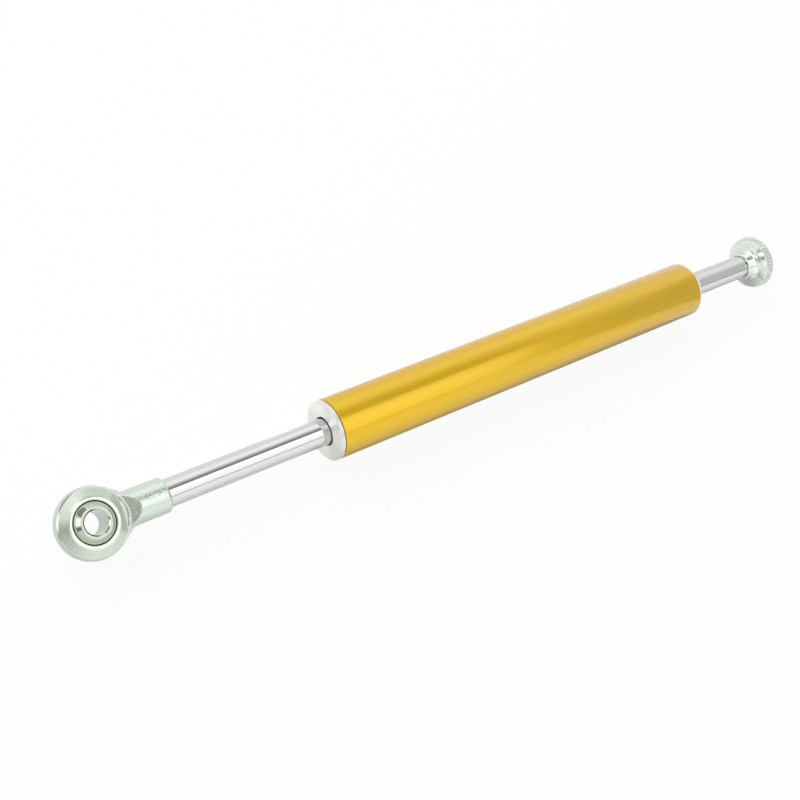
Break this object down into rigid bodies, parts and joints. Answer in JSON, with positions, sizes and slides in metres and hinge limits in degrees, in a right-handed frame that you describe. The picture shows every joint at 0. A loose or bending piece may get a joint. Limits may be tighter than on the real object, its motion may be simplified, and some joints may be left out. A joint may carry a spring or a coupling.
{
  "type": "steering damper",
  "caption": "Linear hydraulic steering damper: gold barrel with screwed end caps, chromed through rod, spherical rod end in front and knurled bell-shaped adjuster knob behind",
  "frame": {"origin": "on the rod's axis at the middle of the barrel's length", "axes": "+X along the rod from the rod end to the adjuster knob; +Z along the bore of the rod end's ball"},
  "size_m": [0.3279, 0.024, 0.0222],
  "materials": {
    "barrel_gold": "satin gold anodised",
    "cap_bright": "fine turned, bright",
    "hard_chrome": "ground and polished hard chrome",
    "zinc_plate": "zinc plated forging, turned on the head and shank",
    "bearing_steel": "polished bearing steel",
    "knob_bright": "polished, straight knurled rim",
    "black_rubber": "black nitrile rubber",
    "glide_plastic": "filled glide plastic",
    "bush_bronze": "plain bearing bronze",
    "piston_alloy": "plain turned",
    "spring_steel": "oiled spring steel",
    "valve_steel": "ground steel"
  },
  "bodies": {
    "barrel": {"barrel_tube": "barrel_gold", "front_end_cap": "cap_bright", "rear_end_cap": "cap_bright", "front_cap_oring": "black_rubber", "rear_cap_oring": "black_rubber", "front_wiper": "black_rubber", "rear_wiper": "black_rubber", "front_rod_seal": "black_rubber", "rear_rod_seal": "black_rubber", "front_guide_bush": "bush_bronze", "rear_guide_bush": "bush_bronze"},
    "glide_ring": {"piston_ring": "glide_plastic"},
    "rod": {"piston_rod": "hard_chrome", "piston": "piston_alloy", "piston_oring": "black_rubber", "piston_clip_front": "spring_steel", "piston_clip_rear": "spring_steel", "rod_end_housing": "zinc_plate", "rod_end_race": "bearing_steel", "needle_guide": "bush_bronze", "detent_ball": "bearing_steel", "detent_spring": "spring_steel"},
    "ball": {"rod_end_ball": "bearing_steel"},
    "knob": {"adjuster_knob": "knob_bright", "knob_snap_ring": "spring_steel"},
    "needle": {"adjuster_needle": "valve_steel", "needle_oring": "black_rubber"}
  },
  "joints": [
    {"name": "rod_slide", "type": "slide", "parent": "barrel", "child": "glide_ring", "axis": [1, 0, 0], "range_m": [-0.0345, 0.062]},
    {"name": "rod_spin", "type": "hinge", "parent": "glide_ring", "child": "rod", "pos_m": [0, 0, 0], "axis": [1, 0, 0], "continuous": true},
    {"name": "ball_swivel", "type": "hinge", "parent": "rod", "child": "ball", "pos_m": [-0.1795, 0, 0], "axis": [0, 1, 0], "range_deg": [-14, 14]},
    {"name": "knob_turn", "type": "hinge", "parent": "rod", "child": "knob", "pos_m": [0.1261, 0, 0], "axis": [1, 0, 0], "range_deg": [-360, 360]},
    {"name": "needle_travel", "type": "slide", "parent": "rod", "child": "needle", "axis": [1, 0, 0], "range_m": [-0.00071, 0.00071]}
  ],
  "couplings": [
    {"joint": "needle_travel", "follows": "knob_turn", "m_per_rad": 0.0001114}
  ]
}
